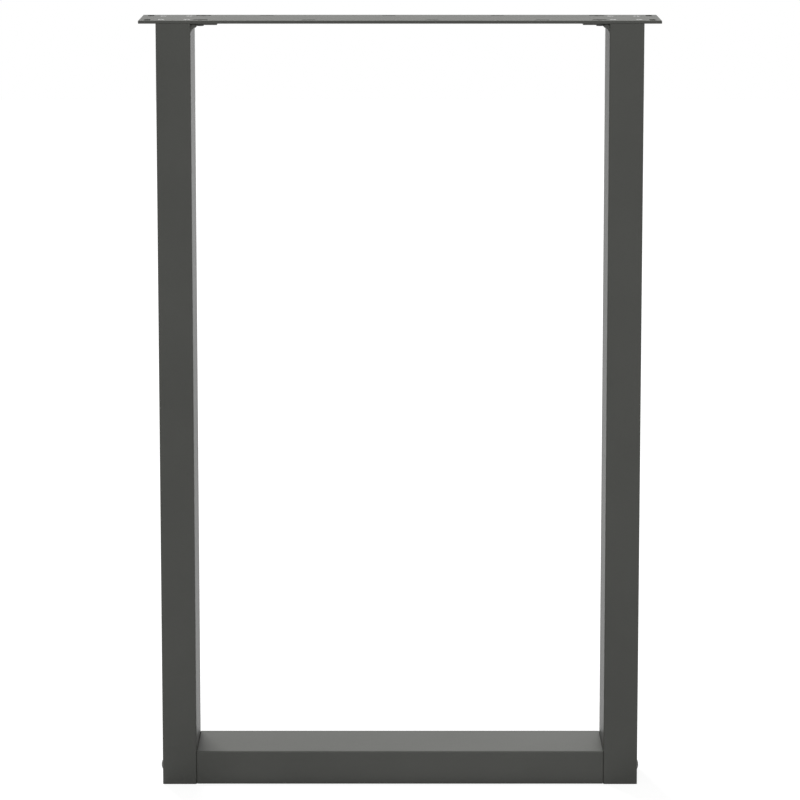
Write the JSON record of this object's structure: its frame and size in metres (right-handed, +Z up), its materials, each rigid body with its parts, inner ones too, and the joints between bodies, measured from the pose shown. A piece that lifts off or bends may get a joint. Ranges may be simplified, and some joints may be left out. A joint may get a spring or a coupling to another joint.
{
  "type": "u shaped table leg",
  "caption": "U shaped steel table leg: box-section uprights and a bottom rail bolted together, with a slotted plate across the top that screws under a table top.",
  "frame": {"origin": "on the floor, at the middle of the leg's footprint", "axes": "+Z up along the uprights, +X across the leg along its top plate, +Y from the front face to the back face"},
  "size_m": [0.6, 0.1, 0.9],
  "materials": {
    "powder_coat": "fine-textured satin powder coat, anthracite",
    "black_fasteners": "black oxide",
    "plated_screws": "bright zinc plating",
    "inner_steel": "plain mill steel",
    "foot_plastic": "black moulded plastic"
  },
  "bodies": {
    "root": {"top_plate": "powder_coat", "bottom_rail": "powder_coat", "left_upright": "powder_coat", "right_upright": "powder_coat", "left_corner_tab": "powder_coat", "right_corner_tab": "powder_coat", "left_head_plate": "inner_steel", "right_head_plate": "inner_steel", "left_rail_end_plate": "inner_steel", "right_rail_end_plate": "inner_steel", "rail_nuts": "inner_steel", "left_foot_cap": "foot_plastic", "right_foot_cap": "foot_plastic", "rail_bolts": "black_fasteners", "tab_screws": "black_fasteners", "head_screws": "plated_screws"}
  },
  "joints": []
}
